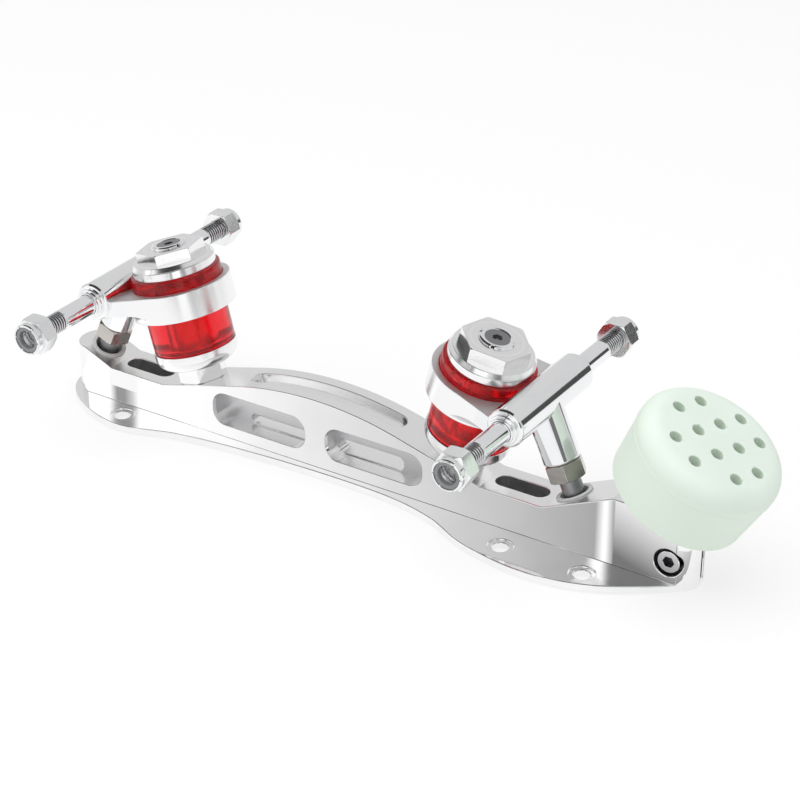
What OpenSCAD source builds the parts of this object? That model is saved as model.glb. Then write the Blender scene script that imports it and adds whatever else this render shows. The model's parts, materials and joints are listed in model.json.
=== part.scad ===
// Quad roller skate plate, lying on its sole face with the trucks up.
// X runs from heel to toe, Y runs across the plate, Z runs away from the sole.
// The origin is on the sole face, midway between the two axles.

/* [Wheelbase and axles] */
// Distance between the two axles
wheelbase = 182; // [176:1:188]
// Height of the axles above the sole face
axle_height = 54.3; // [53:0.1:56]
// Axle diameter
axle_d = 8; // [7:0.1:8.4]
// Axle length from tip to tip
axle_length = 117; // [114:1:122]
// Plain length of the axle between its threaded ends
axle_plain_length = 88; // [80:1:94]
// Diameter of the axle's threaded ends
axle_thread_d = 7.8; // [6.8:0.1:8.2]
// Length of the taper at the axle's tips
axle_tip = 0.8; // [0.4:0.1:1.2]

/* [Axle nuts] */
// Width of the axle nuts across flats
axle_nut_af = 13; // [12:0.5:14]
// Full height of the axle nuts with their collar
axle_nut_height = 9.5; // [9:0.1:10.5]
// Height of the hex part of the axle nuts
axle_nut_hex_height = 6.5; // [5.5:0.1:7]
// Distance between the inner faces of one axle's nuts
axle_nut_spread = 107.6; // [103:0.2:109]
// Collar diameter of the axle nuts
axle_nut_collar_d = 12.2; // [11.8:0.1:12.4]
// Radius of the collar's round shoulder
axle_nut_shoulder = 0.8; // [0.4:0.1:0.8]
// Width of the crimping nicks in the collar's rim
axle_nut_nick = 0.6; // [0.4:0.1:0.8]
// Depth of the crimping nicks in the collar's rim
axle_nut_nick_depth = 0.4; // [0.2:0.1:0.6]
// Nylon insert outer diameter
insert_d = 10.2; // [9.8:0.1:10.4]
// Nylon insert inner diameter
insert_hole_d = 7.3; // [6.5:0.1:7.6]
// Nylon insert thickness
insert_thickness = 2.2; // [1.6:0.1:2.4]
// Depth of the insert below the collar's rim
insert_inset = 0.4; // [0.2:0.1:0.6]

/* [Sole outline] */
// Distance from the middle of the plate to the heel tip
heel_reach = 121.3; // [119:0.5:125]
// Distance from the middle to the round heel corner
heel_corner_at = 109.9; // [108:0.5:112]
// Plate width at the round heel corner
heel_corner_width = 31.6; // [30:0.5:34]
// Distance from the middle to the widest place of the heel
heel_wide_at = 85; // [82:0.5:88]
// Plate width at the widest place of the heel
heel_width = 49; // [47:0.5:52]
// Distance from the middle to the front of the heel
heel_front_at = 60; // [57:0.5:62]
// Plate width at the front of the heel
heel_front_width = 36; // [34:0.5:38]
// Distance from the middle to the instep
instep_at = 34; // [30:0.5:38]
// Plate width at the instep
instep_width = 29; // [28:0.5:31]
// Plate width at the waist, in the middle of the plate
waist_width = 25; // [23:0.5:27]
// Distance from the middle to the back of the ball
ball_back_at = 34; // [30:0.5:38]
// Plate width at the back of the ball
ball_back_width = 26; // [24:0.5:28]
// Distance from the middle to the hollow before the ball
ball_hollow_at = 56; // [54:0.5:58]
// Plate width at the hollow before the ball
ball_hollow_width = 35; // [33:0.5:37]
// Distance from the middle to the shoulder of the ball
ball_shoulder_at = 75; // [72:0.5:78]
// Plate width at the shoulder of the ball
ball_shoulder_width = 52.4; // [50:0.5:55]
// Distance from the middle to the widest place of the ball
ball_wide_at = 101; // [98:0.5:104]
// Plate width at the widest place of the ball
ball_width = 60.8; // [58:0.5:64]
// Distance from the middle to the toe
toe_at = 126; // [123:0.5:128]
// Plate width at the toe
toe_width = 51; // [49:0.5:54]
// Distance from the middle to the nose tip
nose_reach = 157; // [155:0.5:160]
// Set-back from the nose tip of the place where the flange runs out
nose_side_inset = 5.5; // [4.5:0.1:6.5]
// Thickness of the sole flange
flange_thickness = 3; // [2.5:0.1:4]

/* [Spine] */
// Width of the spine
spine_width = 18.7; // [18:0.1:21]
// Set-back of the spine's round heel end from the heel tip
spine_heel_inset = 2.8; // [2:0.1:6]
// Height of the flats between kingpin and pivot seats
valley_height = 17; // [16:0.1:18]
// Distance from the middle to the inner end of those flats
valley_start = 72; // [70:0.5:74]
// Distance from the middle to the outer end of those flats
valley_end = 97.5; // [96:0.5:99]
// Height of the arch between the trucks
crown_height = 31.3; // [30:0.1:33]
// Height of the heel end
heel_height = 22.6; // [21:0.1:24]
// Height of the nose
nose_height = 29.5; // [28:0.1:31]
// Half the width of the post between the two side windows
window_inset = 4.6; // [4:0.1:6]
// Length of a side window
window_length = 43; // [38:0.5:44]
// Height of the window's lower edge
window_bottom = 8; // [7:0.1:9]
// Height of a side window
window_height = 13.5; // [12:0.1:14]
// Corner radius of a side window
window_corner = 5.8; // [4:0.1:5.9]
// Thickness of the middle web behind the windows
web_thickness = 5; // [3:0.1:7]
// Distance from the middle to a slot in the web
slot_inset = 6; // [6:0.1:8]
// Length of the front slot in the web
front_slot_length = 29.5; // [26:0.5:34]
// Height of the front slot in the web
front_slot_height = 5.6; // [4:0.1:7]
// Length of the rear slot in the web
rear_slot_length = 28; // [24:0.5:34]
// Height of the rear slot in the web
rear_slot_height = 3.8; // [3:0.1:6]
// Step from the window's lower edge up to the slot
slot_rise = 0.5; // [0.4:0.1:2]
// Half length of the shallow pocket along the crown
crown_pocket_reach = 34.5; // [30:0.5:40]
// Width of the shallow pocket along the crown
crown_pocket_width = 8; // [6:0.1:10]
// Depth of the shallow pocket along the crown
crown_pocket_depth = 2; // [1:0.1:3]
// Width of the deep slot in each flat
valley_slot_width = 7.6; // [6:0.1:8.5]
// Set-back of the deep slot from the ends of the flat
valley_slot_inset = 2; // [1.5:0.1:3]
// Height of the floor of the deep slot
valley_slot_floor = 5; // [4:0.1:8]

/* [Boot bolt holes] */
// Diameter of the bolt holes
bolt_hole_d = 6; // [5:0.1:6.5]
// Diameter of the spot face around a bolt hole
spot_face_d = 9.4; // [8:0.1:10]
// Depth of the spot face
spot_face_depth = 0.5; // [0.2:0.1:1]
// Distance from the middle to the rear pair of ball holes
ball_hole_back_at = 87.4; // [85:0.2:89]
// Distance from the rear to the front pair of ball holes
ball_hole_pitch = 33.2; // [31:0.2:34]
// Distance across between ball holes
ball_hole_spread = 40; // [39:0.2:41]
// Distance from the middle to the heel holes
heel_hole_at = 86.9; // [84:0.2:90]
// Distance across between heel holes
heel_hole_spread = 33.6; // [32:0.2:35]

/* [Kingpins] */
// Lean of a kingpin away from the middle of the plate, in degrees
kingpin_lean = 15; // [14.5:0.1:15.5]
// Distance from the middle to the kingpin's seat
kingpin_at = 58.6; // [58:0.1:59]
// Kingpin diameter
kingpin_d = 10; // [9:0.1:10.4]
// Depth of the kingpin in the plate
kingpin_depth = 13; // [10:0.5:14]
// Width of the kingpin jam nut across flats
jam_nut_af = 17; // [16:0.5:18]
// Height of the kingpin jam nut
jam_nut_height = 6.7; // [6:0.1:7.2]
// Width of the kingpin's hex socket
kingpin_socket_af = 3.3; // [3:0.1:4]
// Depth of the kingpin's hex socket
kingpin_socket_depth = 3; // [2:0.1:4]

/* [Bushings and retainers] */
// Height of the lower retainer
lower_retainer_height = 7.1; // [6.6:0.1:7.6]
// Diameter of the lower retainer
lower_retainer_d = 32.6; // [32:0.1:33.4]
// Diameter of the lower retainer's foot
lower_retainer_foot_d = 23; // [22:0.2:26]
// Depth of the lower retainer's cup
lower_retainer_cup = 1.8; // [1:0.1:2.4]
// Diameter of the lower bushing
lower_bushing_d = 31.8; // [30.8:0.1:32.2]
// Diameter of the lower bushing's foot in its cup
lower_bushing_foot_d = 26; // [24:0.2:27]
// Visible length of the lower bushing
lower_bushing_gap = 15.3; // [14.6:0.1:15.8]
// Diameter of the upper bushing
upper_bushing_d = 34.8; // [34:0.1:35]
// Visible length of the upper bushing
upper_bushing_gap = 4.9; // [4.4:0.1:5.6]
// Edge chamfer of the bushings
bushing_chamfer = 0.6; // [0.3:0.1:1]
// Diameter of the upper retainer
upper_retainer_d = 32.4; // [31:0.1:33]
// Thickness of the upper retainer
upper_retainer_height = 3.2; // [2.6:0.1:3.8]
// Edge chamfer of the upper retainer and of small fasteners
fine_chamfer = 0.2; // [0.1:0.05:0.4]

/* [Kingpin nuts] */
// Flange diameter of the kingpin nut at its foot
kingpin_nut_flange_d = 32.2; // [31:0.1:33]
// Flange diameter of the kingpin nut at its top
kingpin_nut_flange_top_d = 30; // [28:0.1:31]
// Flange height of the kingpin nut
kingpin_nut_flange_height = 1.7; // [1.4:0.1:2.2]
// Width of the kingpin nut across flats
kingpin_nut_af = 23; // [22:0.1:24]
// Height of the kingpin nut's hex
kingpin_nut_hex_height = 4.5; // [4:0.1:5]
// Corner chamfer of the kingpin nut's hex
kingpin_nut_chamfer = 0.5; // [0.3:0.1:1]
// Turn of the kingpin nut's hex, in degrees
kingpin_nut_turn = 16; // [0:1:60]
// Diameter of the notched lock ring
lock_ring_d = 13.7; // [13:0.1:14.5]
// Height of the lock ring
lock_ring_height = 1; // [0.8:0.1:1.4]
// Width of the lock ring's notches
lock_ring_notch = 1.5; // [1:0.1:2]
// Depth of the lock ring's notches
lock_ring_notch_depth = 1; // [0.6:0.1:1.2]
// Set-back of the kingpin's end below the lock ring's top
kingpin_end_inset = 0.3; // [0.1:0.1:0.5]

/* [Hangers] */
// Outer diameter of the hanger ring
ring_d = 40.5; // [40:0.1:41.5]
// Height of the hanger ring
ring_height = 11; // [10.6:0.1:11.4]
// Thickness of the shelf inside the ring
shelf_thickness = 4; // [3.6:0.1:4.4]
// Diameter of the hole in the shelf
shelf_hole_d = 15; // [14:0.1:16]
// Outer diameter of the axle tube
tube_d = 14.6; // [14:0.1:15]
// Length of the axle tube
tube_length = 51; // [49:0.5:53]
// Edge chamfer of the axle tube, the pivot boss and the hex nuts
tube_chamfer = 0.8; // [0.4:0.1:1.2]
// Diameter of the first step on the tube's ends
collar_d = 11.4; // [11:0.1:12]
// Diameter of the second step on the tube's ends
collar_tip_d = 9.8; // [9.4:0.1:10.2]
// Length of each step on the tube's ends
collar_step = 1.3; // [1:0.1:1.6]
// Height of the web's underside above the ring's
web_rise = 4.3; // [3.6:0.1:5]
// Radius of the hollow between the web's underside and the ring
web_fillet = 3.5; // [2:0.1:3.6]
// Set-back of the web from the tube's ends
web_inset = 1.2; // [1:0.1:3]
// Gap that keeps the web's sides from grazing the ring
web_graze = 0.2; // [0.1:0.05:0.5]

/* [Pivots] */
// Lean of a pivot pin towards the middle of the plate, in degrees
pivot_lean = 24; // [23.5:0.1:24.5]
// Diameter of the pivot boss
pivot_boss_d = 14; // [13:0.1:14.4]
// Distance from the pivot seat to the end of the boss
pivot_boss_gap = 13; // [12.5:0.1:13.5]
// Pivot pin diameter
pivot_pin_d = 8; // [7.5:0.1:8.4]
// Length of the pivot pin in the boss
pivot_pin_grip = 16; // [14:0.5:17]
// Depth of the pivot ball's centre below the seat
pivot_ball_depth = 4.2; // [3.8:0.1:4.6]
// Width of the pivot jam nut across flats
pivot_nut_af = 13; // [12.5:0.5:14]
// Height of the pivot jam nut
pivot_nut_height = 6.5; // [6:0.1:7]
// Outer diameter of the pivot cup
pivot_cup_d = 12.8; // [12:0.1:13.4]
// Depth of the pivot cup
pivot_cup_depth = 10; // [9.5:0.1:10.5]
// Rim diameter of the pivot cup
pivot_cup_rim_d = 13.8; // [13.5:0.1:15]
// Rim height of the pivot cup
pivot_cup_rim = 0.6; // [0.4:0.1:1.2]
// Mouth diameter of the pivot cup
pivot_cup_mouth_d = 10.6; // [10.2:0.1:11]

/* [Toe stop] */
// Lean of the toe stop towards the front, in degrees
stop_lean = 28; // [27:0.1:29]
// Set-back of the centre of the pad's underside from the nose tip
stop_setback = 11.3; // [10.6:0.1:11.6]
// Height of the centre of the pad's underside
stop_height = 33.3; // [32.8:0.1:34]
// Diameter of the pad at its underside
pad_foot_d = 50.8; // [48:0.2:52]
// Edge chamfer of the pad's underside
pad_foot_chamfer = 1; // [0.5:0.1:2]
// Diameter of the pad at its widest place
pad_d = 54.4; // [53:0.2:56]
// Height of the pad
pad_height = 29.8; // [28:0.1:32]
// Radius of the pad's face edge
pad_edge = 7; // [5:0.1:8]
// Rise of the pad's face to its middle
pad_dome = 0.6; // [0.3:0.1:1]
// Depth of the moulding ridge below the pad's face
pad_ridge_drop = 9.7; // [8.2:0.1:14]
// Height of the moulding ridge
pad_ridge_height = 0.7; // [0.4:0.1:1.2]
// Distance that the moulding ridge stands proud
pad_ridge = 0.25; // [0.1:0.05:0.5]
// Diameter of the holes in the pad's face
pad_hole_d = 4.6; // [3.5:0.1:5]
// Depth of the holes in the pad's face
pad_hole_depth = 8; // [5:0.5:10]
// Pitch of the holes in the pad's face
pad_hole_pitch = 10.9; // [10:0.1:11]
// Turn of the hole pattern, in degrees
pad_hole_turn = 19; // [0:1:45]
// Stem diameter
stem_d = 14; // [12:0.1:14.2]
// Length of the stem below the pad
stem_length = 30; // [28:0.5:30.5]
// Least gap between the stem's end and the front pivot cup
stem_cup_gap = 1.5; // [1:0.1:3]
// Diameter of the stem's plate inside the pad
stem_plate_d = 28; // [24:0.5:32]
// Thickness of the stem's plate inside the pad
stem_plate_height = 4; // [3:0.1:5]
// Depth of the stem's plate inside the pad
stem_plate_inset = 4; // [3:0.1:6]
// Gap between the pad and the nose
pad_gap = 1.2; // [1.1:0.1:2]
// Width of the slit in the nose
slit_width = 1.6; // [1:0.1:2]
// Set-back of the clamp screw from the nose tip
clamp_setback = 9; // [8.4:0.1:9.4]
// Height of the clamp screw
clamp_height = 11; // [10.5:0.1:11.5]
// Diameter of the clamp screw
clamp_d = 5; // [4:0.1:5.2]
// Head diameter of the clamp screw
clamp_head_d = 8.5; // [8:0.1:8.7]
// Head height of the clamp screw
clamp_head_height = 5; // [4:0.1:5.2]
// Width of the clamp screw's hex socket
clamp_socket_af = 4; // [3:0.1:4.5]
// Depth of the clamp screw's hex socket
clamp_socket_depth = 2.6; // [2:0.1:3]
// Diameter of the recess around the clamp screw's head
clamp_recess_d = 10.8; // [9.6:0.1:11]
// Depth of the clamp screw's head below the wall
clamp_inset = 0.6; // [0.2:0.1:1]

/* [Fits] */
// Gap all round a thread or a pressed shaft
thread_gap = 0.04; // [0.02:0.01:0.08]
// Gap all round a bushing in its seat
bushing_gap = 0.15; // [0.1:0.05:0.3]
// Gap around the pivot ball in its cup
ball_gap = 0.1; // [0.05:0.01:0.2]

/* [Hidden] */
$fn = 96;
// Overshoot of a cut past the face it opens
over = 1;
// Length of a cut that leaves the part
far = 80;
// Half of the flat left at a slot's round end
slot_flat = 0.1;
// Half steps from the middle of the pad's face to its outer holes
hole_reach = 3;
// Points along each span of the sole outline
span_steps = 8;
// Points along the crown and the pad's rounded edge
arc_steps = 24;

stop_at = nose_reach - stop_setback;
clamp_at = nose_reach - clamp_setback;
tan_king = tan(kingpin_lean);
tan_pivot = tan(pivot_lean);
crown_vertex = valley_height + valley_start * tan_king;
crown_r = (crown_vertex - crown_height) / (1 / cos(kingpin_lean) - 1);
heel_slope_end = valley_end + (heel_height - valley_height) / tan_pivot;
nose_slope_end = valley_end + (nose_height - valley_height) / tan_pivot;
kingpin_seat = valley_height + (valley_start - kingpin_at) * tan_king;
pivot_at = (wheelbase / 2 + (axle_height - valley_height) * tan_pivot
            + valley_end * pow(tan_pivot, 2)) / (1 + pow(tan_pivot, 2));
pivot_seat = valley_height + (pivot_at - valley_end) * tan_pivot;
pivot_to_axle = (axle_height - pivot_seat) / cos(pivot_lean);

// The stem ends short of the pivot cup where the nose is too short for its full length
stem_edge_x = stop_at - stem_d / 2 * cos(stop_lean) - pivot_at;
stem_edge_z = stop_height + stem_d / 2 * sin(stop_lean) - pivot_seat;
stem_room = stem_edge_x * cos(pivot_lean) + stem_edge_z * sin(pivot_lean) - pivot_cup_d / 2 - stem_cup_gap;
stem_reach = min(stem_length, stem_room / sin(stop_lean + pivot_lean));

// Heights along the kingpin, from its seat
retainer_z = jam_nut_height;
lower_bushing_z = retainer_z + lower_retainer_height;
ring_z = lower_bushing_z + lower_bushing_gap;
shelf_z = ring_z + (ring_height - shelf_thickness) / 2;
shelf_top_z = shelf_z + shelf_thickness;
upper_retainer_z = ring_z + ring_height + upper_bushing_gap;
nut_z = upper_retainer_z + upper_retainer_height;
nut_hex_z = nut_z + kingpin_nut_flange_height;
nut_top_z = nut_hex_z + kingpin_nut_hex_height;
kingpin_top_z = nut_top_z + lock_ring_height - kingpin_end_inset;

// The axle's distance out from the kingpin's line
axle_dx = wheelbase / 2 - kingpin_at;
axle_dz = axle_height - kingpin_seat;
axle_out = axle_dx * cos(kingpin_lean) - axle_dz * sin(kingpin_lean);
web_half = tube_length / 2 - web_inset;
web_corner = sqrt(pow(axle_out, 2) + pow(web_half, 2));
web_r = ring_d / 2 - web_graze;
tangent_turn = atan2(web_half, axle_out) + acos(web_r / web_corner);

// Sole outline: one point per station, near side first, then back along the far side
stations = [
    [-heel_corner_at, heel_corner_width / 2],
    [-heel_wide_at, heel_width / 2],
    [-heel_front_at, heel_front_width / 2],
    [-instep_at, instep_width / 2],
    [0, waist_width / 2],
    [ball_back_at, ball_back_width / 2],
    [ball_hollow_at, ball_hollow_width / 2],
    [ball_shoulder_at, ball_shoulder_width / 2],
    [ball_wide_at, ball_width / 2],
    [toe_at, toe_width / 2],
    [nose_reach - nose_side_inset, spine_width / 2]
];
last_station = len(stations) - 1;
loop = concat(
    [[-heel_reach, 0]],
    [for (s = stations) [s[0], -s[1]]],
    [[nose_reach, 0]],
    [for (i = [last_station:-1:0]) stations[i]]
);

// A point of the smooth curve through p1 and p2
function curve(p0, p1, p2, p3, t) =
    p1 + t / 2 * (p2 - p0 + t * (2 * p0 - 5 * p1 + 4 * p2 - p3 + t * (3 * p1 - p0 - 3 * p2 + p3)));

function smooth(p) =
    let (n = len(p))
    [for (i = [0:n - 1], j = [0:span_steps - 1])
        curve(p[(i + n - 1) % n], p[i], p[(i + 1) % n], p[(i + 2) % n], j / span_steps)];

// Places: the kingpin seat, the axle, the pivot seat and the toe stop
module at_kingpin() {
    translate([kingpin_at, 0, kingpin_seat])
        rotate([0, kingpin_lean, 0])
            children();
}

module at_axle() {
    translate([wheelbase / 2, 0, axle_height])
        rotate([90, 0, 0])
            children();
}

module at_pivot() {
    translate([pivot_at, 0, pivot_seat])
        rotate([0, -pivot_lean, 0])
            children();
}

module at_stop() {
    translate([stop_at, 0, stop_height])
        rotate([0, stop_lean, 0])
            children();
}

module at_clamp() {
    translate([clamp_at, 0, clamp_height])
        rotate([90, 0, 0])
            children();
}

module rear() {
    mirror([1, 0, 0])
        children();
}

module both_trucks() {
    children();
    rear()
        children();
}

module both_sides() {
    children();
    mirror([0, 1, 0])
        children();
}

// A hex prism that stands on its end, with both corners turned off
module hex(af, h, chamfer) {
    corner = af / cos(30) / 2;
    intersection() {
        cylinder(r = corner, h = h, $fn = 6);
        rotate_extrude()
            polygon([
                [0, 0],
                [corner - chamfer, 0],
                [corner + chamfer / 2, chamfer],
                [corner + chamfer / 2, h - chamfer],
                [corner - chamfer, h],
                [0, h]
            ]);
    }
}

module hex_hole(af, h) {
    cylinder(d = af / cos(30), h = h, $fn = 6);
}

// A round bar with both edges chamfered
module chamfered(d, h, chamfer) {
    rotate_extrude()
        polygon([
            [0, 0],
            [d / 2 - chamfer, 0],
            [d / 2, chamfer],
            [d / 2, h - chamfer],
            [d / 2 - chamfer, h],
            [0, h]
        ]);
}

// A round bar with a round shoulder at its top
module shouldered(d, h, r) {
    rotate_extrude() {
        square([d / 2, h - r]);
        square([d / 2 - r, h]);
        translate([d / 2 - r, h - r])
            intersection() {
                circle(r);
                square(r);
            }
    }
}

// A rectangle with round corners
module round_bar(x, y, w, h, r) {
    translate([x + r, y])
        square([w - 2 * r, h]);
    translate([x, y + r])
        square([w, h - 2 * r]);
    for (i = [x + r, x + w - r], j = [y + r, y + h - r])
        translate([i, j])
            circle(r);
}

// The plate
module sole_outline() {
    polygon(smooth(loop));
}

module spine_plan() {
    heel_round = spine_width / 2;
    heel_centre = heel_round + spine_heel_inset - heel_reach;
    intersection() {
        sole_outline();
        union() {
            translate([heel_centre, 0])
                circle(heel_round);
            translate([heel_centre, -heel_round])
                square([nose_reach - heel_centre + over, spine_width]);
        }
    }
}

module spine_side(drop) {
    polygon(concat(
        [
            [-heel_reach, 0],
            [nose_reach, 0],
            [nose_reach, nose_height - drop],
            [nose_slope_end, nose_height - drop],
            [valley_end, valley_height - drop],
            [valley_start, valley_height - drop]
        ],
        [for (i = [0:arc_steps])
            let (a = kingpin_lean * (1 - 2 * i / arc_steps))
            [crown_r * sin(a), crown_height - drop - crown_r * (1 - cos(a))]],
        [
            [-valley_start, valley_height - drop],
            [-valley_end, valley_height - drop],
            [-heel_slope_end, heel_height - drop],
            [-heel_reach, heel_height - drop]
        ]
    ));
}

module spine() {
    intersection() {
        linear_extrude(far)
            spine_plan();
        rotate([90, 0, 0])
            linear_extrude(2 * far, center = true)
                spine_side(0);
    }
}

module side_windows() {
    both_trucks()
        both_sides()
            translate([0, spine_width / 2 + over, 0])
                rotate([90, 0, 0])
                    linear_extrude(spine_width / 2 + over - web_thickness / 2)
                        round_bar(window_inset, window_bottom, window_length, window_height, window_corner);
}

module web_slot(length, height) {
    rotate([90, 0, 0])
        linear_extrude(web_thickness + 2 * over, center = true)
            round_bar(slot_inset, window_bottom + slot_rise, length, height, height / 2 - slot_flat);
}

module web_slots() {
    web_slot(front_slot_length, front_slot_height);
    rear()
        web_slot(rear_slot_length, rear_slot_height);
}

module crown_pocket() {
    difference() {
        linear_extrude(far)
            round_bar(-crown_pocket_reach, -crown_pocket_width / 2, 2 * crown_pocket_reach,
                crown_pocket_width, crown_pocket_width / 2 - slot_flat);
        rotate([90, 0, 0])
            linear_extrude(far, center = true)
                spine_side(crown_pocket_depth);
    }
}

module valley_slots() {
    length = valley_end - valley_start - 2 * valley_slot_inset;
    both_trucks()
        translate([valley_start + valley_slot_inset, -valley_slot_width / 2, valley_slot_floor])
            linear_extrude(far)
                round_bar(0, 0, length, valley_slot_width, valley_slot_width / 2 - slot_flat);
}

module bolt_hole(x, y) {
    translate([x, y, -over])
        cylinder(d = bolt_hole_d, h = flange_thickness + 2 * over);
    translate([x, y, flange_thickness - spot_face_depth])
        cylinder(d = spot_face_d, h = far);
}

module bolt_holes() {
    both_sides() {
        bolt_hole(ball_hole_back_at, ball_hole_spread / 2);
        bolt_hole(ball_hole_back_at + ball_hole_pitch, ball_hole_spread / 2);
        bolt_hole(-heel_hole_at, heel_hole_spread / 2);
    }
}

module truck_bores() {
    both_trucks() {
        at_kingpin()
            translate([0, 0, -kingpin_depth])
                cylinder(d = kingpin_d + 2 * thread_gap, h = kingpin_depth + over);
        at_pivot()
            translate([0, 0, -pivot_cup_depth])
                cylinder(d = pivot_cup_d + 2 * thread_gap, h = pivot_cup_depth + over);
    }
}

module nose_clamp() {
    at_stop() {
        translate([0, 0, -far])
            cylinder(d = stem_d + 2 * thread_gap, h = 2 * far);
        translate([-far / 2, -far / 2, -pad_gap])
            cube([far, far, far]);
    }
    intersection() {
        at_stop()
            translate([0, -slit_width / 2, -far])
                cube([far, slit_width, 2 * far]);
        translate([0, -far, flange_thickness])
            cube([2 * nose_reach, 2 * far, far]);
    }
    at_clamp() {
        cylinder(d = clamp_d + 2 * thread_gap, h = far, center = true);
        translate([0, 0, spine_width / 2 - clamp_inset - clamp_head_height])
            cylinder(d = clamp_recess_d, h = far);
    }
}

module base_plate() {
    color("silver")
        difference() {
            union() {
                linear_extrude(flange_thickness)
                    sole_outline();
                spine();
            }
            side_windows();
            web_slots();
            crown_pocket();
            valley_slots();
            bolt_holes();
            truck_bores();
            nose_clamp();
        }
}

// The kingpin and what is stacked on it
module kingpin() {
    color("dimgray")
        at_kingpin()
            difference() {
                translate([0, 0, -kingpin_depth])
                    cylinder(d = kingpin_d, h = kingpin_depth + kingpin_top_z);
                translate([0, 0, kingpin_top_z - kingpin_socket_depth])
                    hex_hole(kingpin_socket_af, far);
            }
}

module kingpin_bore() {
    translate([0, 0, -over])
        cylinder(d = kingpin_d + 2 * thread_gap, h = far);
}

module kingpin_jam_nut() {
    color("gainsboro")
        at_kingpin()
            difference() {
                hex(jam_nut_af, jam_nut_height, tube_chamfer);
                kingpin_bore();
            }
}

module lower_retainer() {
    color("lightgray")
        at_kingpin()
            translate([0, 0, retainer_z])
                difference() {
                    translate([0, 0, lower_retainer_height])
                        mirror([0, 0, 1])
                            shouldered(lower_retainer_d, lower_retainer_height,
                                (lower_retainer_d - lower_retainer_foot_d) / 2);
                    kingpin_bore();
                    translate([0, 0, lower_retainer_height - lower_retainer_cup])
                        cylinder(d = lower_bushing_foot_d + 2 * bushing_gap, h = far);
                }
}

module bushing(d, z0, z1) {
    color("crimson")
        at_kingpin()
            difference() {
                translate([0, 0, z0])
                    chamfered(d, z1 - z0, bushing_chamfer);
                kingpin_bore();
            }
}

module lower_bushing() {
    bushing(lower_bushing_d, lower_bushing_z, shelf_z);
    bushing(lower_bushing_foot_d, lower_bushing_z - lower_retainer_cup, lower_bushing_z + bushing_chamfer);
}

module upper_bushing() {
    bushing(upper_bushing_d, shelf_top_z, upper_retainer_z);
}

module upper_retainer() {
    color("lightgray")
        at_kingpin()
            difference() {
                translate([0, 0, upper_retainer_z])
                    chamfered(upper_retainer_d, upper_retainer_height, fine_chamfer);
                kingpin_bore();
            }
}

module kingpin_nut() {
    color("gainsboro")
        at_kingpin()
            difference() {
                union() {
                    translate([0, 0, nut_z])
                        cylinder(d1 = kingpin_nut_flange_d, d2 = kingpin_nut_flange_top_d,
                            h = kingpin_nut_flange_height);
                    translate([0, 0, nut_z])
                        rotate([0, 0, kingpin_nut_turn])
                            hex(kingpin_nut_af, nut_top_z - nut_z, kingpin_nut_chamfer);
                }
                kingpin_bore();
            }
}

module kingpin_lock_ring() {
    color("white")
        at_kingpin()
            translate([0, 0, nut_top_z])
                difference() {
                    chamfered(lock_ring_d, lock_ring_height, fine_chamfer);
                    kingpin_bore();
                    for (turn = [0:90:270])
                        rotate([0, 0, turn + kingpin_nut_turn])
                            translate([lock_ring_d / 2 - lock_ring_notch_depth, -lock_ring_notch / 2, -over])
                                cube([far, lock_ring_notch, far]);
                }
}

// The hanger and what moves with it
module web_plan() {
    polygon([
        [0, -web_r],
        [web_r * cos(tangent_turn), -web_r * sin(tangent_turn)],
        [axle_out, -web_half],
        [axle_out, web_half],
        [web_r * cos(tangent_turn), web_r * sin(tangent_turn)],
        [0, web_r]
    ]);
}

module ring_and_web() {
    web_z = ring_z + web_rise;
    translate([0, 0, ring_z])
        cylinder(d = ring_d, h = ring_height);
    translate([0, 0, web_z])
        linear_extrude(ring_height - web_rise)
            web_plan();
    intersection() {
        translate([0, 0, ring_z])
            linear_extrude(ring_height)
                web_plan();
        rotate_extrude()
            difference() {
                translate([ring_d / 2 - over, web_z - web_fillet])
                    square([web_fillet + over, web_fillet + over]);
                translate([ring_d / 2 + web_fillet, web_z - web_fillet])
                    circle(web_fillet);
            }
    }
}

module axle_tube() {
    translate([0, 0, -tube_length / 2])
        chamfered(tube_d, tube_length, tube_chamfer);
    cylinder(d = collar_d, h = tube_length + 2 * collar_step, center = true);
    cylinder(d = collar_tip_d, h = tube_length + 4 * collar_step, center = true);
}

module hanger() {
    color("gainsboro")
        difference() {
            union() {
                at_kingpin()
                    ring_and_web();
                at_axle()
                    axle_tube();
                at_pivot()
                    translate([0, 0, pivot_boss_gap])
                        chamfered(pivot_boss_d, pivot_to_axle - pivot_boss_gap, tube_chamfer);
            }
            at_kingpin() {
                cylinder(d = shelf_hole_d, h = far);
                cylinder(d = lower_bushing_d + 2 * bushing_gap, h = shelf_z);
                translate([0, 0, shelf_top_z])
                    cylinder(d = upper_bushing_d + 2 * bushing_gap, h = far);
            }
            at_axle()
                cylinder(d = axle_d + 2 * thread_gap, h = 2 * far, center = true);
            at_pivot()
                cylinder(d = pivot_pin_d + 2 * thread_gap, h = pivot_boss_gap + pivot_pin_grip);
        }
}

module axle() {
    color("white")
        at_axle() {
            translate([0, 0, -axle_length / 2])
                chamfered(axle_thread_d, axle_length, axle_tip);
            cylinder(d = axle_d, h = axle_plain_length, center = true);
        }
}

module both_ends() {
    children();
    mirror([0, 0, 1])
        children();
}

module axle_nut() {
    pocket_z = axle_nut_height - insert_inset - insert_thickness;
    difference() {
        union() {
            hex(axle_nut_af, axle_nut_hex_height, tube_chamfer);
            shouldered(axle_nut_collar_d, axle_nut_height, axle_nut_shoulder);
        }
        translate([0, 0, -over])
            cylinder(d = axle_thread_d + 2 * thread_gap, h = far);
        translate([0, 0, pocket_z])
            cylinder(d = insert_d + 2 * thread_gap, h = far);
        for (turn = [0:60:300])
            rotate([0, 0, turn])
                translate([0, -axle_nut_nick / 2, axle_nut_height - axle_nut_nick_depth])
                    cube([far, axle_nut_nick, far]);
    }
}

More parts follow.
